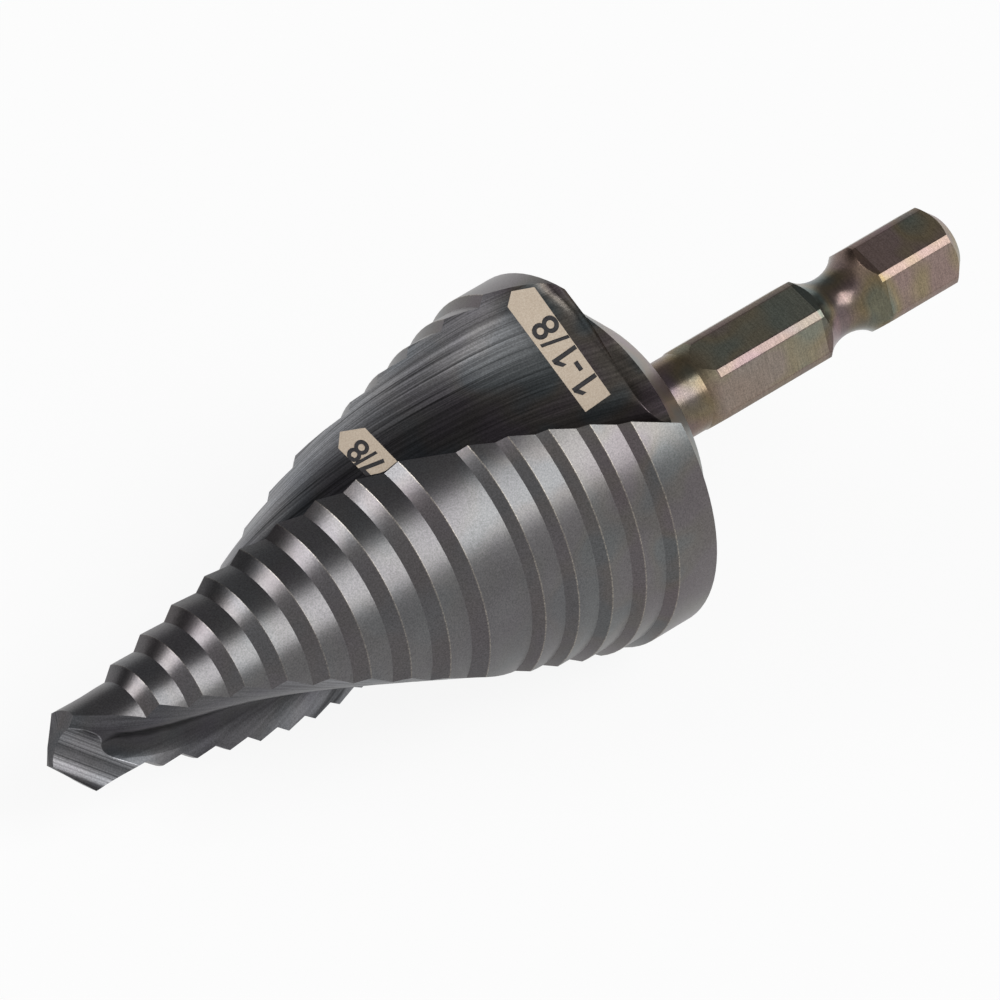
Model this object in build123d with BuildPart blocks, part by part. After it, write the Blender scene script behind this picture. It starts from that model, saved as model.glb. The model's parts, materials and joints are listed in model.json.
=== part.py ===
"""Two-flute spiral step drill with a hexagonal quick-change shank, ground from one bar.

All lengths are millimetres and all angles degrees. The drill is drawn on its own axis, Z:
its point is at negative Z, its shank at positive Z, and Z = 0 is the back edge of the
largest step. At the end it is laid down in the attitude in which it comes to rest.
"""
import math
import os

from build123d import *

INCH = 25.4

# Steps
point_diameter = INCH * 1 / 4
middle_diameter = INCH * 7 / 8
largest_diameter = INCH * 9 / 8
small_step_count = 9
large_step_count = 5
small_land = 1.96
small_cone = 0.98
middle_land = 3.92
large_land = 1.86
large_cone = 0.76
last_land = 3.53
pilot_length = 5.1

# Back of the body
back_face_width = 1.3
collar_diameter = 17.8
back_cone_depth = 3.5

# Shank
neck_diameter = 6.25
neck_length = 5.9
neck_fillet = 0.9
runout_length = 1.3
corner_diameter = 7.0
flat_to_flat = INCH * 1 / 4
front_hex_length = 10.0
groove_diameter = 4.7
groove_width = 5.7
rear_hex_length = 6.7
end_chamfer = 1.1
hex_roll = 1.3

# Flutes
flute_count = 2
flute_lead = 166.7
edge_angle = 7.0
rake_angle = 8.0
lip_lead = 0.45
front_land_angle = 96.0
quarter_land_angle = 101.5
middle_land_angle = 104.5
rim_land_angle = 115.0
back_land_angle = 124.0
heel_sweep = 2.5
web_at_point = 2.1
web_at_middle = 10.4
web_at_back = 20.7
web_at_exit = 24.8
heel_slope = 35.0
front_heel_width = 0.45
back_heel_width = 3.3
front_root_radius = 1.4
back_root_radius = 4.0
front_crease_radius = 0.8
back_crease_radius = 8.0
exit_length = 1.0
station_count = 12

# Point
point_angle = 118.0
lip_clearance = 10.0
flank_clearance = 30.0
lip_turn = -4.5
gash_radius = 2.26
gash_along = 1.55
gash_ahead = 2.08
gash_tilt = 45.5
gash_swing = 21.7


def step_rings():
    """The corners of the stepped body, from the pilot to the last step, as (radius, z)."""
    rings = []
    radius = largest_diameter / 2
    z = 0.0
    increment = (largest_diameter - middle_diameter) / 2 / large_step_count
    for number in range(large_step_count):
        land = last_land if number == 0 else large_land
        rings += [(radius, z), (radius, z - land)]
        z -= land + large_cone
        radius -= increment
    rings += [(radius, z), (radius, z - middle_land)]
    z -= middle_land
    increment = (middle_diameter - point_diameter) / 2 / small_step_count
    for number in range(small_step_count - 1):
        z -= small_cone
        radius -= increment
        rings += [(radius, z), (radius, z - small_land)]
        z -= small_land
    z -= small_cone
    radius -= increment
    rings.append((radius, z))
    return rings[::-1]


# Places along the axis
rings = step_rings()
pilot_radius = point_diameter / 2
pilot_back = rings[0][1]
lip_corner = pilot_back - pilot_length
apex = lip_corner - pilot_radius / math.tan(math.radians(point_angle / 2))
middle_front = rings[2 * small_step_count - 1][1]
neck_start = back_cone_depth
runout_start = neck_start + neck_length
front_hex_start = runout_start + runout_length
groove_start = front_hex_start + front_hex_length
groove_end = groove_start + groove_width
shank_end = groove_end + rear_hex_length + end_chamfer


def between(z, values):
    """Straight interpolation in a short list of (z, value), flat beyond its ends."""
    if z <= values[0][0]:
        return values[0][1]
    for (z0, v0), (z1, v1) in zip(values, values[1:]):
        if z <= z1:
            return v0 + (v1 - v0) * (z - z0) / (z1 - z0)
    return values[-1][1]


def half_web(z):
    """Half the web at z: a parabola through the web at the point, the middle and the back."""
    known = [(lip_corner, web_at_point), (middle_front, web_at_middle), (0.0, web_at_back)]
    total = 0.0
    for za, web in known:
        weight = 1.0
        for zb, other in known:
            if zb != za:
                weight *= (z - zb) / (za - zb)
        total += web / 2 * weight
    return total


def polar(radius, angle):
    """A point of the section plane."""
    return Vector(radius * math.cos(math.radians(angle)), radius * math.sin(math.radians(angle)))


def edge_line(z):
    """Angle of the first cutting edge at z."""
    return edge_angle + z / flute_lead * 360


def land_angle(z):
    """Angle between the cutting edge and the heel of a land: it narrows fast along the pilot."""
    known = [
        (pilot_back, front_land_angle),
        (middle_front - small_cone * small_step_count, quarter_land_angle),
        (-last_land - 2 * large_land, middle_land_angle),
        (-exit_length, rim_land_angle),
        (0.0, back_land_angle),
    ]
    along_pilot = max(pilot_back - max(z, lip_corner), 0)
    return between(z, known) - heel_sweep * along_pilot**2


def rake_line(z):
    """Direction angle of the rake face at z and its distance behind the axis."""
    share = (z - lip_corner) / -lip_corner
    envelope = envelope_radius(z)
    behind = -lip_lead * (1 - share) + share * largest_diameter / 2 * math.sin(math.radians(rake_angle))
    direction = edge_line(z) - math.degrees(math.asin(behind / envelope))
    return direction, behind


def envelope_radius(z):
    """Radius of the smooth cone that touches the front corners of the steps."""
    known = [
        (pilot_back, pilot_radius),
        (middle_front, middle_diameter / 2),
        (-last_land, largest_diameter / 2),
    ]
    return between(z, known)


def flute_corners(z, web):
    """The corners of one flute at z: rake face, root, crease of the heel, open side."""
    share = (z - lip_corner) / -lip_corner
    reach = largest_diameter * 0.95
    envelope = envelope_radius(z)

    direction, behind = rake_line(z)
    along = polar(1, direction)
    across = polar(1, direction + 90)
    rake_outside = along * reach + across * behind

    heel_angle = edge_line(z) + land_angle(z) - 360 / flute_count
    facet_normal = heel_angle + heel_slope
    facet_distance = envelope * math.cos(math.radians(heel_slope))
    facet_start = envelope * math.sin(math.radians(heel_slope))
    widening = 1 - (1 - max(share, 0)) ** 2
    heel_width = front_heel_width + (back_heel_width - front_heel_width) * widening
    facet_way = polar(1, facet_normal + 90)
    crease = polar(facet_distance, facet_normal) + facet_way * (heel_width - facet_start)
    facet_reach = math.sqrt(reach**2 - facet_distance**2)
    facet_outside = polar(facet_distance, facet_normal) - facet_way * facet_reach

    crease_angle = math.degrees(math.atan2(crease.Y, crease.X))
    floor_normal = crease_angle + math.degrees(math.acos(web / crease.length))
    normal = polar(1, floor_normal)
    run = (web - across.dot(normal) * behind) / along.dot(normal)
    root = along * run + across * behind
    open_side = polar(reach * 1.2, (edge_line(z) + heel_angle) / 2)
    return rake_outside, root, crease, facet_outside, open_side


# The blank, turned from the bar
with BuildPart() as blank:
    with BuildSketch(Plane.XZ):
        with BuildLine():
            Polyline(
                (0, apex),
                (pilot_radius, apex),
                *rings,
                (largest_diameter / 2 - back_face_width, 0),
                (collar_diameter / 2, neck_start),
                (neck_diameter / 2, neck_start),
                (neck_diameter / 2, runout_start),
                (corner_diameter / 2, front_hex_start),
                (corner_diameter / 2, groove_start),
            )
            ThreePointArc(
                (corner_diameter / 2, groove_start),
                (groove_diameter / 2, (groove_start + groove_end) / 2),
                (corner_diameter / 2, groove_end),
            )
            Polyline(
                (corner_diameter / 2, groove_end),
                (corner_diameter / 2, shank_end - end_chamfer),
                (corner_diameter / 2 - end_chamfer, shank_end),
                (0, shank_end),
                (0, apex),
            )
        make_face()
    revolve(axis=Axis.Z)
    neck_corner = (
        blank.edges()
        .filter_by(GeomType.CIRCLE)
        .filter_by(lambda edge: abs(edge.radius - neck_diameter / 2) < 1e-6)
        .sort_by(Axis.Z)
    )
    fillet(neck_corner[0], neck_fillet)
    with BuildSketch(Plane.XY.offset((neck_start + runout_start) / 2)):
        Circle(largest_diameter)
        RegularPolygon(flat_to_flat / 2, 6, major_radius=False, rotation=hex_roll, mode=Mode.SUBTRACT)
    extrude(amount=shank_end, mode=Mode.SUBTRACT)


def flute_section(z, web):
    """The section of one flute at z, with a round root and a soft crease."""
    corners = flute_corners(z, web)
    share = min(max((z - first_station) / -first_station, 0), 1)
    root_radius = front_root_radius + (back_root_radius - front_root_radius) * share
    crease_radius = front_crease_radius + (back_crease_radius - front_crease_radius) * share
    with BuildSketch(Plane.XY.offset(z)) as section:
        with BuildLine():
            Polyline(*corners, close=True)
        make_face()
        for corner, radius in ((corners[1], root_radius), (corners[2], crease_radius)):
            fillet(section.vertices().sort_by_distance((corner.X, corner.Y, z))[0], radius)
    return section.sketch


# One flute, as the space that the wheel clears; its sections are closest at both ends
first_station = apex - small_cone
spacing = [math.cos(math.pi * index / (station_count - 1)) for index in range(station_count)]
stations = [first_station * (1 + step) / 2 for step in spacing]
with BuildPart() as flute:
    loft([flute_section(station, half_web(station)) for station in stations])

# The end of the flute, where the wheel comes out through the back of the body
with BuildPart() as flute_exit:
    loft([flute_section(0, half_web(0)), flute_section(exit_length, web_at_exit / 2)])

# One gash, the hollow that thins the web at the point, ground by the round rim of a wheel
gash_direction = edge_line(lip_corner)
gash_start = polar(gash_along, gash_direction) + polar(gash_ahead, gash_direction - 90)
gash_way = polar(math.sin(math.radians(gash_tilt)), gash_direction + gash_swing)
gash_way += Vector(0, 0, math.cos(math.radians(gash_tilt)))
with BuildPart() as gash:
    with BuildSketch(Plane(origin=gash_start + Vector(0, 0, lip_corner), z_dir=gash_way)):
        Circle(gash_radius)
    extrude(amount=point_diameter * 1.3, both=True)

lip_direction = edge_line(lip_corner) + lip_turn
with BuildPart() as ground_drill:
    add(blank.part)
    with PolarLocations(0, flute_count):
        add(flute.part, mode=Mode.SUBTRACT)
        add(flute_exit.part, mode=Mode.SUBTRACT)
    rise = 1 / math.tan(math.radians(point_angle / 2))
    for turn in range(flute_count):
        lip = polar(1, lip_direction + turn * 360 / flute_count)
        behind_lip = polar(1, lip_direction + turn * 360 / flute_count + 90)
        for clearance in (lip_clearance, flank_clearance):
            slope = lip * -rise + behind_lip * -math.tan(math.radians(clearance)) + Vector(0, 0, 1)
            split(bisect_by=Plane(origin=(0, 0, apex), z_dir=slope), keep=Keep.TOP)
    with PolarLocations(0, flute_count):
        add(gash.part, mode=Mode.SUBTRACT)


def on_flank(z, radius, heel):
    """A corner of the second land at z: on its cutting edge, or on its heel."""
    if heel:
        angle = edge_line(z) + land_angle(z)
        angle += heel_slope - math.degrees(
            math.acos(envelope_radius(z) * math.cos(math.radians(heel_slope)) / radius)
        )
    else:
        direction, behind = rake_line(z)
        angle = direction + math.degrees(math.asin(behind / radius)) + 360 / flute_count
    return polar(radius, angle) + Vector(0, 0, z)


# Lying down: it rests on two corners of one cutting edge and on the heel at the back
middle_corner = on_flank(middle_front, middle_diameter / 2, heel=False)
large_ring = rings[2 * small_step_count + 3]
large_corner = on_flank(large_ring[1], large_ring[0], heel=False)
back_corner = on_flank(0, largest_diameter / 2, heel=True)
up = (large_corner - middle_corner).cross(back_corner - middle_corner).normalized()
if up.dot(middle_corner) > 0:
    up = up * -1
level = Vector(0, 0, 1) - up * up.Z
floor_plane = Plane(origin=middle_corner, x_dir=level, z_dir=up)
lying_drill = floor_plane.to_local_coords(ground_drill.part)
surface_points = lying_drill.tessellate(0.02, 0.1)[0]
low = Vector(*(min(getattr(point, name) for point in surface_points) for name in "XYZ"))
high = Vector(*(max(getattr(point, name) for point in surface_points) for name in "XYZ"))
lying_drill = lying_drill.moved(Location((-(low.X + high.X) / 2, -(low.Y + high.Y) / 2, -low.Z)))

with BuildPart() as step_drill:
    add(lying_drill)

os.makedirs("parts", exist_ok=True)
step_drill.part.label = "step_drill"
export_step(step_drill.part, "parts/step_drill.step")
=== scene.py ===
"""Looks of a spiral step drill that lies on a pale table.

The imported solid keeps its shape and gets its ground, coated steel. The size labels on its
flute are thin pieces of their own. Lengths are millimetres and angles degrees, in the
drill's own frame: Z runs along its axis from point to shank, Z = 0 is the back edge of
the largest step, and X points to the side that faces the camera.
"""

import json
import logging
import math
from dataclasses import dataclass, field
from enum import Enum

import bmesh
import bpy
from mathutils import Matrix, Vector
from mathutils.bvhtree import BVHTree


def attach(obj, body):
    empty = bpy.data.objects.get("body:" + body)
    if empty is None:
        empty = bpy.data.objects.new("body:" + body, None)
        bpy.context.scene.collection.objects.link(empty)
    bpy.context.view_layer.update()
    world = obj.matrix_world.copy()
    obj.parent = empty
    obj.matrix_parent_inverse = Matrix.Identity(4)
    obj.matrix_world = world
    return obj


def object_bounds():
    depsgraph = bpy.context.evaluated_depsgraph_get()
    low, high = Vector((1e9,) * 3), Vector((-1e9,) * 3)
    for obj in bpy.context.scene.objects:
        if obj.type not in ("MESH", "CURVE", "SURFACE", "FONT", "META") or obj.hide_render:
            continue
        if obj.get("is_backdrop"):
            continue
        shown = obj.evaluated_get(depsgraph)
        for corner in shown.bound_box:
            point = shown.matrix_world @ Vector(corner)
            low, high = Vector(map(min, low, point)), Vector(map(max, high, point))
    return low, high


log = logging.getLogger("step_drill_looks")
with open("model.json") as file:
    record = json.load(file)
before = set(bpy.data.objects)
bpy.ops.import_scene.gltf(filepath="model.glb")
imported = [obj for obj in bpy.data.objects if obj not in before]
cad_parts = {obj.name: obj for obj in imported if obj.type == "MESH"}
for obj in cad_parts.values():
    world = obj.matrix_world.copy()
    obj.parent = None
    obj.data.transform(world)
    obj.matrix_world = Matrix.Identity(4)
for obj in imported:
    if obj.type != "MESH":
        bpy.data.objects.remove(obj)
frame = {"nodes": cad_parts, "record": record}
cad_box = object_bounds()

MM = 0.001
NODE = "step_drill"
BODY = "root"

Socket = bpy.types.NodeSocket
Pair = tuple[float, float]
Triple = tuple[float, float, float]

# Start and end of a span, and the values there
Ramp = tuple[float, float, float, float]


def srgb(code: str) -> tuple[float, float, float, float]:
    """Turns an sRGB hex colour into linear light.

    Args:
        code: Six hex digits after a hash sign.

    Returns:
        Red, green, blue and an alpha of 1.
    """
    parts = [int(code[i : i + 2], 16) / 255 for i in (1, 3, 5)]
    linear = [c / 12.92 if c <= 0.04045 else ((c + 0.055) / 1.055) ** 2.4 for c in parts]
    return (*linear, 1.0)


@dataclass(frozen=True)
class DrillAxis:
    """Where the drill's own frame lies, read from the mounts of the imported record.

    Attributes:
        shank_end: Place of the shank's end face along the axis.
        flat_angle: Angle of the first drive flat from the drill's X.
    """

    shank_end: float = 34.2
    flat_angle: float = 31.3

    @property
    def turn(self) -> Matrix:
        """Columns are the drill's X, Y and Z in the row frame."""
        mounts = {mount["name"]: mount for mount in frame["record"]["mounts"]}
        along = Vector(mounts["shank_end"]["axis"]).normalized()
        flat = Vector(mounts["drive_flat_1"]["axis"])
        flat = (flat - along * flat.dot(along)).normalized()
        across = Matrix.Rotation(math.radians(-self.flat_angle), 3, along) @ flat
        return Matrix((across, along.cross(across), along)).transposed()

    @property
    def origin(self) -> Vector:
        """The drill's origin in the row frame, in metres."""
        mounts = {mount["name"]: mount for mount in frame["record"]["mounts"]}
        return Vector(mounts["shank_end"]["pos_m"]) - self.turn.col[2] * self.shank_end * MM


@dataclass(frozen=True)
class Sight:
    """The line of sight of the photograph, against the drill's axis.

    Attributes:
        off_axis: Angle between the line of sight and the drill's axis.
        picture_slope: Slope of the axis in the picture.
        axis: Where the drill's own frame lies.
    """

    off_axis: float = 62.03
    picture_slope: float = 30.49
    axis: DrillAxis = field(default_factory=DrillAxis)

    @property
    def directions(self) -> tuple[Vector, Vector, Vector]:
        """Right, down and away from the camera, in the row frame."""
        angle, slope = math.radians(self.off_axis), math.radians(self.picture_slope)
        turn = self.axis.turn
        away = turn @ Vector((-math.sin(angle), 0, math.cos(angle)))
        side = turn @ Vector((0, 1, 0))
        along = side.cross(away)
        right = side * math.sin(slope) + along * math.cos(slope)
        down = side * math.cos(slope) - along * math.sin(slope)
        return right, down, away


class Nodes:
    """A node tree under construction."""

    def __init__(self, tree: bpy.types.NodeTree) -> None:
        """Empties the tree.

        Args:
            tree: Node tree of a material or a world.
        """
        self.tree = tree
        self.tree.nodes.clear()

    def add(
        self,
        kind: str,
        *values: object,
        out: int | str = 0,
        named: dict | None = None,
        **settings: object,
    ) -> Socket | None:
        """Adds a node with its settings and links.

        Args:
            kind: Node type, without the word ShaderNode.
            *values: What goes into its first inputs: numbers, colours or outputs. None
                leaves an input as it is.
            out: Name or number of the output that is wanted.
            named: What goes into other inputs, by their name or number.
            **settings: Properties of the node.

        Returns:
            The wanted output, if the node has one.
        """
        node = self.tree.nodes.new("ShaderNode" + kind)
        for name, value in settings.items():
            setattr(node, name, value)
        for name, value in (dict(enumerate(values)) | (named or {})).items():
            if isinstance(value, bpy.types.NodeSocket):
                self.tree.links.new(value, node.inputs[name])
            elif value is not None:
                node.inputs[name].default_value = value
        return node.outputs[out] if node.outputs else None


def new_material(name: str) -> tuple[bpy.types.Material, Nodes]:
    """Starts a material.

    Args:
        name: Its name.

    Returns:
        The material and its empty node tree.
    """
    material = bpy.data.materials.new(name)
    material.use_nodes = True
    return material, Nodes(material.node_tree)


@dataclass(frozen=True)
class Finish:
    """Colour and gloss of one kind of surface on the drill.

    Attributes:
        color: Colour of the coated steel there.
        tint: Colour that it drifts towards in soft patches.
        roughness: Its roughness.
    """

    color: str
    tint: str
    roughness: float


class Surface(Enum):
    """The kinds of surface that turning, grinding and heat leave on the drill, and the painted
    shade deep in the flutes.
    """

    # The flute's dark colour is painted shade of its hollow; the outer wall (FACET) is paler
    FLUTE_PAINTED_SHADE = Finish("#3C3D40", "#343439", 0.30)
    FACET = Finish("#8A8A8D", "#7C7E83", 0.32)
    HOLLOW = Finish("#717174", "#646467", 0.28)
    FLANK = Finish("#626264", "#55565A", 0.34)
    LAND = Finish("#6B6B6C", "#666567", 0.30)
    CONE = Finish("#5B5A5C", "#5A5759", 0.28)
    BACK = Finish("#4C4743", "#6A5C5C", 0.32)
    NECK = Finish("#6C5E43", "#404A56", 0.25)
    FLAT = Finish("#8F8673", "#8A8A7C", 0.32)
    CORNER = Finish("#857868", "#807070", 0.34)


@dataclass(frozen=True)
class StepCone:
    """The smooth cone round the steps, steeper in front of the middle step than behind it.

    Attributes:
        pilot_back: Back edge of the pilot.
        pilot_radius: Its radius.
        middle_front: Front edge of the middle step's land.
        middle_radius: Its radius.
        last_front: Front edge of the largest step's land.
        largest_radius: Its radius.
        small_pitch: Distance from land to land up to the middle step.
        large_pitch: The same behind it.
        pitch_change: Place between the two kinds of step.
        row_middle: Middle of the row of front corners.
        row_half: Half the length of that row.
    """

    pilot_back: float = -43.19
    pilot_radius: float = 3.175
    middle_front: float = -18.69
    middle_radius: float = 11.11
    last_front: float = -3.53
    largest_radius: float = 14.29
    small_pitch: float = 2.94
    large_pitch: float = 2.62
    pitch_change: float = -16.0
    row_middle: float = -23.4
    row_half: float = 20.1

    def radius_at(self, nodes: Nodes, z: Socket) -> Socket:
        """Works out the cone's radius.

        Args:
            nodes: The material's tree.
            z: Place along the axis.

        Returns:
            The radius there.
        """
        pilot, middle, last = (
            (self.pilot_back, self.pilot_radius),
            (self.middle_front, self.middle_radius),
            (self.last_front, self.largest_radius),
        )
        front, rear = (
            nodes.add("MapRange", z, start[0], end[0], start[1], end[1])
            for start, end in ((pilot, middle), (middle, last))
        )
        behind = nodes.add("Math", z, self.middle_front, operation="GREATER_THAN")
        return nodes.add("Mix", behind, None, front, rear)

    def edge_distance(self, nodes: Nodes, z: Socket) -> Socket:
        """Works out how far the nearest front edge of a land is.

        Args:
            nodes: The material's tree.
            z: Place along the axis.

        Returns:
            The distance along the axis.
        """
        distances = []
        for edge, pitch in (
            (self.middle_front, self.small_pitch),
            (self.last_front, self.large_pitch),
        ):
            past = nodes.add("Math", z, -edge, operation="ADD")
            distances.append(nodes.add("Math", past, pitch / 2, -pitch / 2, operation="WRAP"))
        behind = nodes.add("Math", z, self.pitch_change, operation="GREATER_THAN")
        nearest = nodes.add("Mix", behind, None, *distances)
        return nodes.add("Math", nearest, operation="ABSOLUTE")

    def in_row(self, nodes: Nodes, z: Socket) -> Socket:
        """Tells the row of front corners from the pilot and the last land.

        Args:
            nodes: The material's tree.
            z: Place along the axis.

        Returns:
            1 along the row, 0 elsewhere.
        """
        past = nodes.add("Math", z, -self.row_middle, operation="ADD")
        distance = nodes.add("Math", past, operation="ABSOLUTE")
        return nodes.add("Math", distance, self.row_half, operation="LESS_THAN")


@dataclass(frozen=True)
class Gash:
    """The round hollow that a wheel grinds beside each lip, told by the wheel's path.

    Attributes:
        spot: A point on the middle line of the path.
        way: Direction of that line.
        radius: Radius of the path.
        side: Direction from the drill's axis towards the first gash.
        end: Place behind which there is no gash.
        slack: Mask against the distance from the path.
    """

    spot: Triple = (2.246, 1.326, -48.233)
    way: Triple = (-0.1774, 0.6907, 0.7011)
    radius: float = 2.26
    side: Triple = (1.0, 0.4, 0.0)
    end: float = -43.6
    slack: Ramp = (0.03, 0.06, 1.0, 0.0)

    def offset(self, nodes: Nodes, place: Socket) -> Socket:
        """Works out the offset from the path's middle line.

        The second gash lies half a turn from the first one, and is turned onto it.

        Args:
            nodes: The material's tree.
            place: Place in the drill's frame.

        Returns:
            The offset, square to the line.
        """
        toward = nodes.add("VectorMath", place, self.side, out="Value", operation="DOT_PRODUCT")
        half = nodes.add("Math", toward, operation="SIGN")
        halves = nodes.add("CombineXYZ", half, half, 1.0)
        turned = nodes.add("VectorMath", place, halves, operation="MULTIPLY")
        across = nodes.add("VectorMath", turned, self.spot, operation="SUBTRACT")
        length = nodes.add("VectorMath", across, self.way, out="Value", operation="DOT_PRODUCT")
        along = nodes.add("VectorMath", self.way, named={"Scale": length}, operation="SCALE")
        return nodes.add("VectorMath", across, along, operation="SUBTRACT")

    def mask(self, nodes: Nodes, offset: Socket, z: Socket) -> Socket:
        """Tells the gashes from the rest.

        Args:
            nodes: The material's tree.
            offset: Offset from the middle line.
            z: Place along the axis.

        Returns:
            1 in a gash, 0 elsewhere.
        """
        reach = nodes.add("VectorMath", offset, out="Value", operation="LENGTH")
        miss = nodes.add("Math", reach, self.radius, operation="SUBTRACT")
        near = nodes.add("MapRange", nodes.add("Math", miss, operation="ABSOLUTE"), *self.slack)
        before = nodes.add("Math", z, self.end, operation="LESS_THAN")
        return nodes.add("Math", near, before, operation="MULTIPLY")


@dataclass(frozen=True)
class SteelPoint:
    """Where a point of the steel lies, as outputs of nodes.

    Attributes:
        place: Its place in the drill's frame.
        z: Its place along the axis.
        radius: Its distance from the axis.
        lean: How far it faces along the axis.
        swing: How far it faces sideways, round the axis.
        gap: Its depth under the cone round the steps.
        depth: That depth as a share of the cone's radius.
        gash_offset: Its offset from the middle line of the nearest gash wheel's path.
    """

    place: Socket
    z: Socket
    radius: Socket
    lean: Socket
    swing: Socket
    gap: Socket
    depth: Socket
    gash_offset: Socket


@dataclass(frozen=True)
class SteelMasks:
    """How far a point of the steel belongs to each surface, as outputs of nodes from 0 to 1.

    Attributes:
        facet: The outer part of a flute's wall, paler than the painted shade deeper in the flute.
        hollow: A gash.
        flank: A lip's flank.
        turned: Lands and cones.
        cone: The cone in front of a land.
        back: The cone behind the largest step.
        shank: All behind the body.
        rear_hexagon: The hexagon behind the groove.
        hexagon: The hexagon on both sides of the groove.
        corner: The hexagon's turned-down corners.
    """

    facet: Socket
    hollow: Socket
    flank: Socket
    turned: Socket
    cone: Socket
    back: Socket
    shank: Socket
    rear_hexagon: Socket
    hexagon: Socket
    corner: Socket


@dataclass(frozen=True)
class Zones:
    """Where each kind of surface begins and ends.

    Attributes:
        gash: The gashes.
        land_gap: Mask of lands against the depth under the cone.
        land_swing: The same against how far they face sideways.
        cone_lean: Mask of cones against how far they face along the axis.
        flank_lean: How far a flank faces along the axis, at most.
        flank_end: Back end of the flanks.
        facet_depth: Mask of the outer flute wall against its depth; deeper in, the flute's dark
            colour is painted shade.
        facet_ends: The same against the place along the axis, at the back and at the front.
        back_lean: Mask of the cone behind the largest step against how far it faces back.
        back_start: Front end of that cone.
        shank_start: Front end of the shank.
        runout: Where the hexagon rises from the round neck.
        groove: Front and back of the ball groove.
        corner: Mask of the turned-down corners against the distance from the axis.
    """

    gash: Gash = field(default_factory=Gash)
    land_gap: Ramp = (0.9, 1.2, 1.0, 0.0)
    land_swing: Ramp = (0.1, 0.2, 1.0, 0.0)
    cone_lean: Ramp = (-0.3, -0.15, 1.0, 0.0)
    flank_lean: float = -0.7
    flank_end: float = -47.0
    facet_depth: Ramp = (0.08, 0.36, 1.0, 0.0)
    facet_ends: tuple[Ramp, Ramp] = ((-4.0, -2.0, 1.0, 0.0), (-40.0, -20.0, 0.2, 1.0))
    back_lean: Ramp = (0.25, 0.35, 0.0, 1.0)
    back_start: float = -0.6
    shank_start: float = 3.45
    runout: Pair = (9.4, 10.7)
    groove: Pair = (20.4, 26.7)
    corner: Ramp = (3.44, 3.48, 0.0, 1.0)

    def tell_apart(self, nodes: Nodes, point: SteelPoint) -> SteelMasks:
        """Tells the kinds of surface apart.

        Args:
            nodes: The material's tree.
            point: Where a point lies.

        Returns:
            How far it belongs to each kind.
        """
        add = nodes.add
        # The flute turns from its pale outer wall to dark with depth: painted shade of the hollow
        facet = add("MapRange", point.depth, *self.facet_depth, interpolation_type="SMOOTHSTEP")
        for ramp in self.facet_ends:
            facet = add("Math", facet, add("MapRange", point.z, *ramp), operation="MULTIPLY")
        hollow = self.gash.mask(nodes, point.gash_offset, point.z)
        forward = add("Math", point.lean, self.flank_lean, operation="LESS_THAN")
        ahead = add("Math", point.z, self.flank_end, operation="LESS_THAN")
        flank = add("Math", forward, ahead, operation="MULTIPLY")

        # Turned surfaces lie near the smooth cone round the steps and face straight outwards
        near = add("MapRange", point.gap, *self.land_gap)
        straight = add("MapRange", point.swing, *self.land_swing)
        turned = add("Math", near, straight, operation="MULTIPLY")
        leaning = add("MapRange", point.lean, *self.cone_lean)
        cone = add("Math", turned, leaning, operation="MULTIPLY")
        backward = add("MapRange", point.lean, *self.back_lean)
        behind = add("Math", point.z, self.back_start, operation="GREATER_THAN")
        back = add("Math", backward, behind, operation="MULTIPLY")

        shank = add("Math", point.z, self.shank_start, operation="GREATER_THAN")
        past_neck = add("MapRange", point.z, *self.runout)
        past_front, past_groove = (
            add("Math", point.z, end, operation="GREATER_THAN") for end in self.groove
        )
        groove = add("Math", past_front, past_groove, operation="SUBTRACT")
        hexagon = add("Math", past_neck, groove, operation="SUBTRACT", use_clamp=True)
        rim = add("MapRange", point.radius, *self.corner)
        corner = add("Math", rim, hexagon, operation="MULTIPLY")
        return SteelMasks(
            facet, hollow, flank, turned, cone, back, shank, past_groove, hexagon, corner
        )


@dataclass(frozen=True)
class Heat:
    """The straw, rose and green that heat leaves on steel, strongest on the shank.

    Attributes:
        rose: First hue of the thin oxide.
        straw: Its second hue.
        green: Its third hue.
        hues_per_mm: Number of patches of hue in a millimetre.
        shift: Place of their noise, away from that of the soft patches.
        straw_range: Where in that noise rose turns to straw.
        green_range: Where straw turns to green.
        rise: Share of the tint against the place along the axis.
        on_shank: Share that the shank has besides.
        on_corner: The same for the hexagon's corners, which are paler.
        on_back: The same for the cone behind the largest step.
        on_rear: The same for the hexagon behind the groove.
    """

    rose: str = "#9A7F80"
    straw: str = "#978668"
    green: str = "#72827C"
    hues_per_mm: float = 0.22
    shift: Triple = (31.0, 7.0, 12.0)
    straw_range: Pair = (0.40, 0.50)
    green_range: Pair = (0.52, 0.62)
    rise: Ramp = (-16.0, 2.0, 0.03, 0.14)
    on_shank: float = 0.22
    on_corner: float = -0.2
    on_back: float = 0.3
    on_rear: float = 0.25

    def tint(self, nodes: Nodes, point: SteelPoint, masks: SteelMasks, color: Socket) -> Socket:
        """Tints the steel.

        Args:
            nodes: The material's tree.
            point: Where a point lies.
            masks: What it belongs to.
            color: Colour of the steel.

        Returns:
            The tinted colour.
        """
        add = nodes.add
        shifted = add("VectorMath", point.place, self.shift, operation="ADD")
        hue = add("TexNoise", shifted, named={"Scale": self.hues_per_mm, "Detail": 1.0})
        oxide = srgb(self.rose)
        for span, code in ((self.straw_range, self.straw), (self.green_range, self.green)):
            turned = add("MapRange", hue, *span)
            oxide = add("Mix", turned, named={6: oxide, 7: srgb(code)}, out=2, data_type="RGBA")
        share = add("MapRange", point.z, *self.rise)
        for mask, amount in (
            (masks.shank, self.on_shank),
            (masks.corner, self.on_corner),
            (masks.back, self.on_back),
            (masks.rear_hexagon, self.on_rear),
        ):
            share = add("Math", mask, amount, share, operation="MULTIPLY_ADD")
        return add("Mix", share, named={6: color, 7: oxide}, out=2, data_type="RGBA")


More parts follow.
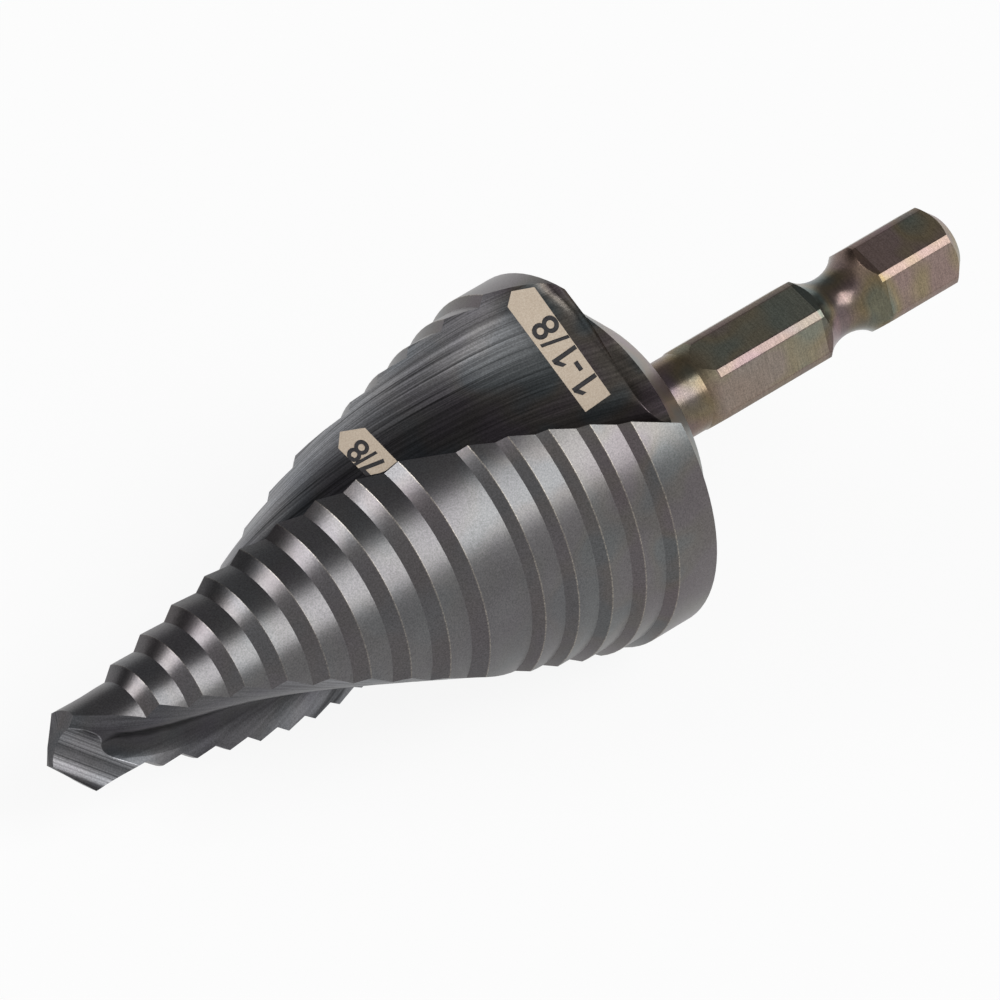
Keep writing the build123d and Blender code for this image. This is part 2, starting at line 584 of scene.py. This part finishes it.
@dataclass(frozen=True)
class WheelMarks:
    """The long marks of the grinding wheels in flutes and gashes, about 0.2 mm wide.

    They run along the helix of the flutes and along the path of the gash's wheel. The real
    ones are finer, and these are as coarse as they need to be to show.

    Attributes:
        lead: Length in which the flutes make a whole turn.
        wall_way: Direction across the marks, in the flutes laid straight.
        squeeze: Breadth of a mark as a share of its length.
        fine_per_mm: Number of fine marks in a millimetre.
        broad_per_mm: Number of broad ones.
        broad_height: Height of the broad ones against the fine ones.
        shades: Brightness of the marks against their height.
        in_depth: Their strength against the depth of the flute.
        at_ends: The same against the place along the axis, at the front and at the back.
        in_gash: Their strength in the gashes.
    """

    lead: float = 166.7
    wall_way: Triple = (0.12, 0.99, 0.0)
    squeeze: float = 0.012
    fine_per_mm: float = 5.0
    broad_per_mm: float = 1.6
    broad_height: float = 0.5
    shades: Ramp = (0.58, 0.92, 0.35, 1.9)
    in_depth: Ramp = (0.28, 0.48, 1.0, 0.1)
    at_ends: tuple[Ramp, Ramp] = ((-34.0, -24.0, 0.3, 1.0), (-7.0, -2.0, 1.0, 0.4))
    in_gash: float = 0.7

    def height(self, nodes: Nodes, point: SteelPoint, masks: SteelMasks) -> Socket:
        """Draws the marks.

        Args:
            nodes: The material's tree.
            point: Where a point lies.
            masks: What it belongs to.

        Returns:
            Their height.
        """
        add = nodes.add
        twist = add("Math", point.z, -2 * math.pi / self.lead, operation="MULTIPLY")
        laid = add("VectorRotate", point.place, named={"Angle": twist}, rotation_type="Z_AXIS")
        over = add("VectorMath", laid, self.wall_way, out="Value", operation="DOT_PRODUCT")
        along = add("Math", point.z, self.squeeze, operation="MULTIPLY")
        lines = {4: add("CombineXYZ", over, 0.0, along), 5: point.gash_offset}
        streaks = add("Mix", masks.hollow, named=lines, out=1, data_type="VECTOR")
        noise = {"Scale": self.fine_per_mm, "Detail": 3.0, "Roughness": 0.7}
        fine = add("TexNoise", streaks, named=noise)
        broad = add("TexNoise", streaks, named={"Scale": self.broad_per_mm, "Detail": 1.0})
        return add("Math", broad, self.broad_height, fine, operation="MULTIPLY_ADD")

    def shade(
        self, nodes: Nodes, point: SteelPoint, masks: SteelMasks, in_flute: Socket, marks: Socket
    ) -> Socket:
        """Works out how the marks brighten and darken the steel.

        Args:
            nodes: The material's tree.
            point: Where a point lies.
            masks: What it belongs to.
            in_flute: 1 in flutes and gashes, 0 elsewhere.
            marks: Height of the marks.

        Returns:
            A factor for the colour.
        """
        add = nodes.add
        strength = add("MapRange", point.depth, *self.in_depth)
        for ramp in self.at_ends:
            strength = add("Math", strength, add("MapRange", point.z, *ramp), operation="MULTIPLY")
        least = add("Math", masks.hollow, self.in_gash, operation="MULTIPLY")
        strength = add("Math", strength, least, operation="MAXIMUM")
        strength = add("Math", in_flute, strength, operation="MULTIPLY")
        return add("Mix", strength, None, 1.0, add("MapRange", marks, *self.shades))


@dataclass(frozen=True)
class EdgeHighlight:
    """A thin bright line painted along the front corner of each land: a painted highlight of the
    edge.

    Attributes:
        color: Colour of the painted highlight.
        width: Mask against the distance from the corner.
        breaks: How the grain breaks them up.
        rise: Their strength against the place along the axis.
    """

    color: str = "#BDB4A6"
    width: Ramp = (0.024, 0.06, 1.0, 0.0)
    breaks: Ramp = (0.4, 0.65, 0.1, 0.6)
    rise: Ramp = (-36.0, -16.0, 0.25, 0.9)

    def mask(self, nodes: Nodes, z: Socket, distance: Socket, grain: Socket) -> Socket:
        """Works out where a land gets the painted highlight.

        Args:
            nodes: The material's tree.
            z: Place along the axis.
            distance: Distance from the nearest front corner.
            grain: Height of the grain.

        Returns:
            A mask for the highlight's colour.
        """
        edge_highlight = nodes.add("MapRange", distance, *self.width)
        for value, ramp in ((grain, self.breaks), (z, self.rise)):
            share = nodes.add("MapRange", value, *ramp)
            edge_highlight = nodes.add("Math", edge_highlight, share, operation="MULTIPLY")
        return edge_highlight


@dataclass(frozen=True)
class CoatedSteel:
    """High-speed steel, turned and ground, and then given a thin dark coating.

    To the eye it is a dark metal whose grain blurs what it mirrors. The flutes and gashes
    show the long marks of their wheels, with painted shade deep in the flutes, the lands a
    fine grain and a painted highlight along their front corners, and the shank fine marks
    across it and the straw, rose and green of heat.

    Attributes:
        name: Name of the material.
        axis: Where the drill's own frame lies.
        steps: The cone round the steps.
        zones: Where each kind of surface begins and ends.
        heat: The tint of heat.
        wheel: The marks of the grinding wheels.
        corners: The painted highlight along the front corners of the lands.
        patches_per_mm: Number of soft patches in a millimetre.
        patch_range: What of their noise is used.
        grain_per_mm: Number of grains in a millimetre.
        grain_shades: Brightness of the grain against its noise.
        grain_height: Height of the grain against the wheel marks.
        cross_squeeze: What stretches the cross marks round the shank.
        cross_per_mm: Number of cross marks in a millimetre.
        cross_shades: Brightness of the cross marks against their noise.
        relief: Height of all these marks.
        relief_strength: How much of it shows.
    """

    name: str = "coated_ground_steel"
    axis: DrillAxis = field(default_factory=DrillAxis)
    steps: StepCone = field(default_factory=StepCone)
    zones: Zones = field(default_factory=Zones)
    heat: Heat = field(default_factory=Heat)
    wheel: WheelMarks = field(default_factory=WheelMarks)
    corners: EdgeHighlight = field(default_factory=EdgeHighlight)
    patches_per_mm: float = 0.16
    patch_range: Pair = (0.38, 0.62)
    grain_per_mm: float = 8.0
    grain_shades: Ramp = (0.3, 0.7, 0.76, 1.24)
    grain_height: float = 0.5
    cross_squeeze: Triple = (0.08, 0.08, 1.0)
    cross_per_mm: float = 9.0
    cross_shades: Ramp = (0.3, 0.7, 0.86, 1.14)
    relief: float = 0.02
    relief_strength: float = 0.25

    def locate(self, nodes: Nodes) -> SteelPoint:
        """Finds a point's place in the drill's own frame.

        Args:
            nodes: The material's tree.

        Returns:
            Where the point lies.
        """
        add = nodes.add
        turn = self.axis.turn.to_euler()
        inverse = {"vector_type": "TEXTURE"}
        origin, scale = tuple(self.axis.origin), (MM, MM, MM)
        place = add("Mapping", add("TexCoord", out="Object"), origin, turn, scale, **inverse)
        normal = add("TexCoord", out="Normal")
        facing = add("Mapping", normal, (0, 0, 0), turn, (1, 1, 1), **inverse)
        z = add("SeparateXYZ", place, out="Z")
        level = add("VectorMath", place, (1, 1, 0), operation="MULTIPLY")
        radius = add("VectorMath", level, out="Value", operation="LENGTH")
        outward = add("VectorMath", level, operation="NORMALIZE")
        sideways = add("VectorMath", outward, facing, operation="CROSS_PRODUCT")
        swing = add("Math", add("SeparateXYZ", sideways, out="Z"), operation="ABSOLUTE")
        lean = add("SeparateXYZ", facing, out="Z")
        cone_radius = self.steps.radius_at(nodes, z)
        gap = add("Math", cone_radius, radius, operation="SUBTRACT")
        depth = add("Math", gap, cone_radius, operation="DIVIDE")
        gash_offset = self.zones.gash.offset(nodes, place)
        return SteelPoint(place, z, radius, lean, swing, gap, depth, gash_offset)

    def lay_finishes(
        self, nodes: Nodes, point: SteelPoint, masks: SteelMasks
    ) -> tuple[Socket, Socket]:
        """Lays each surface's finish over those before it, in soft patches.

        Args:
            nodes: The material's tree.
            point: Where a point lies.
            masks: What it belongs to.

        Returns:
            Colour and roughness.
        """
        add = nodes.add
        noise = {"Scale": self.patches_per_mm, "Detail": 2.0, "Roughness": 0.5}
        patch = add("MapRange", add("TexNoise", point.place, named=noise), *self.patch_range)
        colors = {}
        for surface in Surface:
            tones = {6: srgb(surface.value.color), 7: srgb(surface.value.tint)}
            colors[surface] = add("Mix", patch, named=tones, out=2, data_type="RGBA")
        # Start from the flute's dark colour, which is painted shade
        color, roughness = colors[Surface.FLUTE_PAINTED_SHADE], Surface.FLUTE_PAINTED_SHADE.value.roughness
        for mask, surface in (
            (masks.facet, Surface.FACET),
            (masks.hollow, Surface.HOLLOW),
            (masks.flank, Surface.FLANK),
            (masks.turned, Surface.LAND),
            (masks.cone, Surface.CONE),
            (masks.back, Surface.BACK),
            (masks.shank, Surface.NECK),
            (masks.hexagon, Surface.FLAT),
            (masks.corner, Surface.CORNER),
        ):
            tones = {6: color, 7: colors[surface]}
            color = add("Mix", mask, named=tones, out=2, data_type="RGBA")
            roughness = add("Mix", mask, None, roughness, surface.value.roughness)
        return color, roughness

    def make(self) -> bpy.types.Material:
        """Builds the material.

        Returns:
            The finished material.
        """
        material, nodes = new_material(self.name)
        add = nodes.add
        point = self.locate(nodes)
        masks = self.zones.tell_apart(nodes, point)
        color, roughness = self.lay_finishes(nodes, point, masks)
        color = self.heat.tint(nodes, point, masks, color)

        outside = add("Math", masks.turned, masks.back, operation="MAXIMUM")
        in_flute = add("Math", 1.0, outside, operation="SUBTRACT", use_clamp=True)
        in_flute = add("Math", in_flute, masks.shank, operation="SUBTRACT", use_clamp=True)
        marks = self.wheel.height(nodes, point, masks)
        shade = self.wheel.shade(nodes, point, masks, in_flute, marks)

        # Grain of about 0.12 mm, coarser than the real one so that it shows
        noise = {"Scale": self.grain_per_mm, "Detail": 2.0, "Roughness": 0.7}
        grain = add("TexNoise", point.place, named=noise)
        specks = add("MapRange", grain, *self.grain_shades)
        shade = add("Math", shade, specks, operation="MULTIPLY")

        # Marks about 0.11 mm apart across the hexagon, and turned ones round neck and groove
        rings = add("VectorMath", point.place, self.cross_squeeze, operation="MULTIPLY")
        noise = {"Scale": self.cross_per_mm, "Detail": 2.0, "Roughness": 0.6}
        cross = add("TexNoise", rings, named=noise)
        bands = add("Mix", masks.shank, None, 1.0, add("MapRange", cross, *self.cross_shades))
        shade = add("Math", shade, bands, operation="MULTIPLY")
        color = add("VectorMath", color, named={"Scale": shade}, operation="SCALE")

        # A painted highlight along the front corner of each land
        distance = self.steps.edge_distance(nodes, point.z)
        edge_highlight = self.corners.mask(nodes, point.z, distance, grain)
        for share in (masks.turned, self.steps.in_row(nodes, point.z)):
            edge_highlight = add("Math", edge_highlight, share, operation="MULTIPLY")
        tones = {6: color, 7: srgb(self.corners.color)}
        color = add("Mix", edge_highlight, named=tones, out=2, data_type="RGBA")

        # Bump follows the same marks
        low = add("Math", grain, self.grain_height, operation="MULTIPLY")
        height = add("Mix", in_flute, None, low, marks)
        height = add("Mix", masks.shank, None, height, cross)
        relief = {"Strength": self.relief_strength, "Distance": self.relief * MM, "Height": height}
        bump = add("Bump", named=relief)
        metal = {"Base Color": color, "Metallic": 1.0, "Roughness": roughness, "Normal": bump}
        add("OutputMaterial", add("BsdfPrincipled", named=metal))
        return material


@dataclass
class Drill:
    """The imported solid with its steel.

    Attributes:
        steel: Its material.
    """

    steel: CoatedSteel = field(default_factory=CoatedSteel)

    def dress(self) -> bpy.types.Object:
        """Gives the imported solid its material.

        Returns:
            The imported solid.
        """
        solid = frame["nodes"][NODE]
        solid.data.materials.clear()
        solid.data.materials.append(self.steel.make())
        return solid


@dataclass(frozen=True)
class Oxide:
    """What a marking laser leaves on coated steel: oxide, annealed in a thin layer.

    To the eye it is a matt layer with fine specks and none of the metal's gloss.

    Attributes:
        name: Name of the material.
        color: Its colour.
        speck: Colour of the specks in it.
        specks_per_mm: Number of specks in a millimetre.
        speck_range: What of their noise is used.
        roughness: Its roughness.
        relief: Height of the specks.
        relief_strength: How much of it shows.
    """

    name: str
    color: str
    speck: str
    specks_per_mm: float = 9.0
    speck_range: Pair = (0.35, 0.7)
    roughness: float = 0.62
    relief: float = 0.02
    relief_strength: float = 0.3

    def make(self) -> bpy.types.Material:
        """Builds the material, with specks of about 0.11 mm.

        Returns:
            The finished material.
        """
        material, nodes = new_material(self.name)
        noise = {"Scale": self.specks_per_mm / MM, "Detail": 2.0, "Roughness": 0.8}
        grain = nodes.add("TexNoise", nodes.add("TexCoord", out="Object"), named=noise)
        amount = nodes.add("MapRange", grain, *self.speck_range)
        tones = {6: srgb(self.color), 7: srgb(self.speck)}
        color = nodes.add("Mix", amount, named=tones, out=2, data_type="RGBA")
        relief = {"Strength": self.relief_strength, "Distance": self.relief * MM, "Height": grain}
        bump = nodes.add("Bump", named=relief)
        layer = {"Base Color": color, "Roughness": self.roughness, "Normal": bump}
        nodes.add("OutputMaterial", nodes.add("BsdfPrincipled", named=layer))
        return material


class Mark(Enum):
    """The materials of a size label: sandy field, paler rim and near-black digits."""

    FIELD = Oxide("laser_annealed_oxide", "#C2B09B", "#D8CAB8")
    RIM = Oxide("laser_annealed_rim", "#D8CBBA", "#E2D8CA")
    DIGIT = Oxide("laser_black_oxide", "#232224", "#39373A")


@dataclass
class SizeLabel:
    """A pointed size label that a laser drew on the flute beside its step.

    Its outline is drawn square to the line of sight, right and up of the drill's origin,
    and laid on the flute along that line.

    Attributes:
        name: Name of its pieces.
        text: The size of the step in inches.
        corners: Corners of its outline, against the clock.
        middle: Middle of the text.
        run: Direction in which the text runs.
        digit_height: Height of the digits.
        spacing: Distance between the digits, as a share of the font's own.
        ones: Left edges of the figures one, in digit heights from the middle of the text.
        flag: Corners of a one's flag, in digit heights from its left edge. The font has none.
        cap_share: Height of the digits as a share of the font's size.
        digit_weight: What the digits gain on each side, which makes them bolder.
        rim_width: Width of the pale rim.
        mesh_step: Width of the faces that follow the flute.
        sink: How far the label reaches into the steel.
        lift: How far its field stands above the steel. The digits stand twice as high.
        reach: Distance in front of the sight plane from which it is laid on.
        sight: The line of sight.
    """

    name: str
    text: str
    corners: list[Pair]
    middle: Pair
    run: Pair
    digit_height: float = 2.05
    spacing: float = 1.0
    ones: tuple[float, ...] = ()
    flag: tuple[Pair, ...] = ((0.0, 0.55), (-0.24, 0.36), (-0.24, 0.19), (0.0, 0.34))
    cap_share: float = 0.72
    digit_weight: float = 0.03
    rim_width: float = 0.07
    mesh_step: float = 0.3
    sink: float = 0.04
    lift: float = 0.02
    reach: float = 50.0
    sight: Sight = field(default_factory=Sight)

    @property
    def matrix(self) -> Matrix:
        """Takes a point of the sight plane, in millimetres, to the row frame in metres."""
        right, down, away = self.sight.directions
        basis = Matrix((right, -down, -away)).transposed().to_4x4()
        return Matrix.Translation(self.sight.axis.origin) @ basis @ Matrix.Scale(MM, 4)

    def lay(self, work: bmesh.types.BMesh, solid: BVHTree, lift: float) -> None:
        """Lays a flat sheet on the drill along the line of sight and makes it a thin slab.

        Args:
            work: The flat sheet in the sight plane.
            solid: The drill's surface.
            lift: How far its top stands above the steel.
        """
        for axis in (Vector((1, 0, 0)), Vector((0, 1, 0))):
            spots = [vert.co.dot(axis) for vert in work.verts]
            count = int((max(spots) - min(spots)) / self.mesh_step)
            for number in range(1, count + 1):
                geometry = work.verts[:] + work.edges[:] + work.faces[:]
                spot = axis * (min(spots) + number * self.mesh_step)
                bmesh.ops.bisect_plane(work, geom=geometry, plane_co=spot, plane_no=axis)
        bmesh.ops.transform(work, matrix=self.matrix, verts=work.verts)
        away = self.sight.directions[2]
        for vert in work.verts:
            spot, normal = solid.ray_cast(vert.co - away * self.reach * MM, away)[:2]
            vert.co = spot - normal * self.sink * MM
        work.normal_update()
        sheet = work.faces[:]
        grown = bmesh.ops.extrude_face_region(work, geom=sheet, use_keep_orig=True)["geom"]
        for vert in [item for item in grown if isinstance(item, bmesh.types.BMVert)]:
            vert.co += vert.normal * (self.sink + lift) * MM
        bmesh.ops.recalc_face_normals(work, faces=work.faces)

    def finish(self, work: bmesh.types.BMesh, name: str, marks: list[Mark]) -> bpy.types.Object:
        """Makes the piece and its materials.

        Args:
            work: Its mesh.
            name: Its name.
            marks: What its material slots hold.

        Returns:
            The piece.
        """
        mesh = bpy.data.meshes.new(name)
        work.to_mesh(mesh)
        work.free()
        for mark in marks:
            mesh.materials.append(bpy.data.materials.get(mark.value.name) or mark.value.make())
        piece = bpy.data.objects.new(name, mesh)
        bpy.context.scene.collection.objects.link(piece)
        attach(piece, BODY)
        return piece

    def build_field(self, solid: BVHTree) -> bpy.types.Object:
        """Builds the sandy field with its rim.

        Args:
            solid: The drill's surface.

        Returns:
            The piece.
        """
        work = bmesh.new()
        face = work.faces.new([work.verts.new((x, y, 0)) for x, y in self.corners])
        rims = bmesh.ops.inset_region(
            work, faces=[face], thickness=self.rim_width, use_even_offset=True
        )["faces"]
        for rim in rims:
            rim.material_index = 1
        self.lay(work, solid, self.lift)
        return self.finish(work, f"{self.name}_field", [Mark.FIELD, Mark.RIM])

    def write(self) -> bmesh.types.BMesh:
        """Writes the text.

        Returns:
            Its flat mesh, round the middle of the text.
        """
        curve = bpy.data.curves.new(self.name, "FONT")
        curve.body = self.text
        curve.align_x, curve.align_y = "CENTER", "CENTER"
        curve.size = self.digit_height / self.cap_share
        curve.offset = self.digit_weight
        curve.space_character = self.spacing
        writing = bpy.data.objects.new(self.name, curve)
        bpy.context.scene.collection.objects.link(writing)
        flat = bpy.data.meshes.new_from_object(writing)
        bpy.data.objects.remove(writing)
        work = bmesh.new()
        work.from_mesh(flat)
        bpy.data.meshes.remove(flat)
        for left in self.ones:
            spots = [((left + x) * self.digit_height, y * self.digit_height) for x, y in self.flag]
            work.faces.new([work.verts.new((x, y, 0)) for x, y in spots])
        return work

    def build_digits(self, solid: BVHTree) -> bpy.types.Object:
        """Builds the digits, cut off where the label ends.

        Args:
            solid: The drill's surface.

        Returns:
            The piece.
        """
        work = self.write()
        turn = Matrix.Rotation(math.atan2(self.run[1], self.run[0]), 4, "Z")
        place = Matrix.Translation((*self.middle, 0)) @ turn
        bmesh.ops.transform(work, matrix=place, verts=work.verts)
        for start, end in zip(self.corners, self.corners[1:] + self.corners[:1]):
            outward = Vector((end[1] - start[1], start[0] - end[0], 0))
            geometry = work.verts[:] + work.edges[:] + work.faces[:]
            bmesh.ops.bisect_plane(
                work, geom=geometry, plane_co=(*start, 0), plane_no=outward, clear_outer=True
            )
        self.lay(work, solid, self.lift * 2)
        return self.finish(work, f"{self.name}_digits", [Mark.DIGIT])

    def build(self, solid: BVHTree) -> list[bpy.types.Object]:
        """Builds the label.

        Args:
            solid: The drill's surface.

        Returns:
            Its pieces.
        """
        return [self.build_field(solid), self.build_digits(solid)]


def size_labels() -> list[SizeLabel]:
    """Lists the labels of the middle and the largest step.

    Returns:
        Both labels.
    """
    middle = SizeLabel(
        name="label_7_8",
        text="7/8",
        corners=[
            (-17.97, 0.08),
            (-15.93, -1.93),
            (-14.96, -1.70),
            (-14.53, -1.53),
            (-13.72, -0.86),
            (-16.06, 1.55),
            (-17.86, 1.26),
        ],
        middle=(-15.93, -0.60),
        run=(-0.71, 0.70),
        digit_height=1.75,
        spacing=0.85,
    )
    largest = SizeLabel(
        name="label_9_8",
        text="1-1/8",
        corners=[(-5.80, 10.26), (-0.20, 2.68), (1.60, 3.95), (-3.87, 11.69), (-5.52, 11.39)],
        middle=(-1.58, 6.83),
        run=(-0.577, 0.817),
        spacing=1.05,
        ones=(-1.263, -0.054),
    )
    return [middle, largest]


@dataclass
class Table:
    """The pale table under the drill: matt white paper, which shows no gloss.

    Attributes:
        size: Side of the square.
        color: Its colour.
        seen_white: Share of plain white that the camera sees in it.
        mirrored_white: Share of plain white that the steel mirrors in it.
    """

    size: float = 6000.0
    color: str = "#F4F4F4"
    seen_white: float = 0.9
    mirrored_white: float = 0.35

    def make_paper(self) -> bpy.types.Material:
        """Makes the paper.

        Returns:
            The finished material.
        """
        material, nodes = new_material("matt_white_paper")
        rays = ("Camera", "Glossy", "Transmission")
        camera, glossy, through = (nodes.add("LightPath", out=f"Is {ray} Ray") for ray in rays)
        mirrored = nodes.add("Math", glossy, self.mirrored_white, operation="MULTIPLY")
        direct = nodes.add("Math", camera, through, operation="MAXIMUM")
        seen = nodes.add("Math", direct, self.seen_white, operation="MULTIPLY")
        share = nodes.add("Math", seen, mirrored, operation="MAXIMUM")
        matt = nodes.add("BsdfDiffuse", srgb(self.color))
        white = nodes.add("Emission", (1, 1, 1, 1), 1.0)
        nodes.add("OutputMaterial", nodes.add("MixShader", share, matt, white))
        return material

    def build(self) -> bpy.types.Object:
        """Makes the table top.

        Returns:
            The table top.
        """
        mesh = bpy.data.meshes.new("table")
        work = bmesh.new()
        bmesh.ops.create_grid(work, x_segments=1, y_segments=1, size=self.size * MM / 2)
        work.to_mesh(mesh)
        work.free()
        top = bpy.data.objects.new("table", mesh)
        bpy.context.scene.collection.objects.link(top)
        mesh.materials.append(self.make_paper())
        top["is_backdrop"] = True
        return top


def direction_of(bearing: float, height: float) -> Vector:
    """Direction from the drill to a part of the room.

    Args:
        bearing: Its angle round the vertical, from the row frame's X.
        height: Its angle above the table.

    Returns:
        A vector of length 1.
    """
    turn, rise = math.radians(bearing), math.radians(height)
    level = math.cos(rise)
    return Vector((level * math.cos(turn), level * math.sin(turn), math.sin(rise)))


@dataclass(frozen=True)
class SoftBox:
    """A square soft box that faces the drill.

    Attributes:
        name: Its name.
        bearing: Its direction from the drill, round the vertical from the row frame's X.
        height: Its direction above the table.
        size: Its side.
        power: Its power in watts.
        distance: How far off it stands.
    """

    name: str
    bearing: float
    height: float
    size: float
    power: float
    distance: float = 1200.0

    def build(self) -> bpy.types.Object:
        """Makes the lamp.

        Returns:
            The lamp.
        """
        data = bpy.data.lights.new(self.name, "AREA")
        data.shape = "SQUARE"
        data.size = self.size * MM
        data.energy = self.power
        lamp = bpy.data.objects.new(self.name, data)
        bpy.context.scene.collection.objects.link(lamp)
        toward = direction_of(self.bearing, self.height)
        lamp.location = toward * self.distance * MM
        lamp.rotation_euler = toward.to_track_quat("Z", "Y").to_euler()
        return lamp


@dataclass(frozen=True)
class DimSide:
    """A dim part of the room, which the steel mirrors.

    Attributes:
        color: Its colour.
        bearing: Its direction from the drill, round the vertical from the row frame's X.
        height: Its direction above the table.
        end: Angle from its middle at which it ends.
        full: Angle from its middle up to which it is fully dim.
    """

    color: str
    bearing: float
    height: float
    end: float
    full: float


@dataclass
class Studio:
    """Camera, lamps and surroundings.

    Attributes:
        distance: Distance of the camera from the drill's origin along the line of sight.
        aim: Where the drill's origin lies in view, right and down of the middle.
        lens: Focal length on the sensor.
        sensor: Width of the sensor.
        pale: Colour of the room.
        dim_sides: Its dim parts, one high and one low.
        sight: The line of sight.
        boxes: The soft boxes.
    """

    distance: float = 909.09
    aim: Pair = (6.345, -3.635)
    lens: float = 451.1
    sensor: float = 36.0
    pale: str = "#DCDCDC"
    dim_sides: tuple[DimSide, ...] = (
        DimSide("#7E7E80", bearing=40.0, height=58.0, end=58.0, full=40.0),
        DimSide("#232325", bearing=142.0, height=5.0, end=44.0, full=26.0),
    )
    sight: Sight = field(default_factory=Sight)
    boxes: tuple[SoftBox, ...] = (
        SoftBox("side_soft_box", bearing=-48.0, height=55.0, size=700.0, power=5.4),
        SoftBox("front_soft_box", bearing=153.0, height=28.0, size=400.0, power=4.2),
    )

    def place_camera(self) -> bpy.types.Object:
        """Makes the camera at the photograph's angle.

        Returns:
            The camera.
        """
        right, down, away = self.sight.directions
        data = bpy.data.cameras.new("camera")
        data.sensor_width = self.sensor
        data.lens = self.lens
        camera = bpy.data.objects.new("camera", data)
        bpy.context.scene.collection.objects.link(camera)
        offset = away * self.distance + right * self.aim[0] + down * self.aim[1]
        turn = Matrix((right, -down, -away)).transposed().to_4x4()
        camera.matrix_world = Matrix.Translation(self.sight.axis.origin - offset * MM) @ turn
        bpy.context.scene.camera = camera
        return camera

    def surround(self) -> bpy.types.World:
        """Makes a pale room with its dim parts.

        Returns:
            The world.
        """
        world = bpy.data.worlds.new("studio")
        world.use_nodes = True
        nodes = Nodes(world.node_tree)
        direction = nodes.add("TexCoord", out="Generated")
        color = srgb(self.pale)
        for side in self.dim_sides:
            middle = tuple(direction_of(side.bearing, side.height))
            near = nodes.add("VectorMath", direction, middle, out="Value", operation="DOT_PRODUCT")
            end, full = (math.cos(math.radians(angle)) for angle in (side.end, side.full))
            amount = nodes.add("MapRange", near, end, full, interpolation_type="SMOOTHSTEP")
            tones = {6: color, 7: srgb(side.color)}
            color = nodes.add("Mix", amount, named=tones, out=2, data_type="RGBA")
        nodes.add("OutputWorld", nodes.add("Background", color, 1.0))
        bpy.context.scene.world = world
        return world

    def build(self) -> None:
        """Makes camera, lamps and surroundings."""
        self.place_camera()
        self.surround()
        for box in self.boxes:
            box.build()
        bpy.context.scene.view_settings.view_transform = "Standard"


def main() -> None:
    Studio().build()
    Table().build()
    drill = Drill().dress()
    log.info("%s dressed", drill.name)
    solid = BVHTree.FromObject(drill, bpy.context.evaluated_depsgraph_get())
    for label in size_labels():
        for piece in label.build(solid):
            log.info("%s has %d faces", piece.name, len(piece.data.polygons))
    boxes = {"cad": cad_box, "visual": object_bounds()}
    plain = {name: [[float(x) for x in corner] for corner in box] for name, box in boxes.items()}


if __name__ == "__main__":
    logging.basicConfig(level=logging.INFO)
    main()
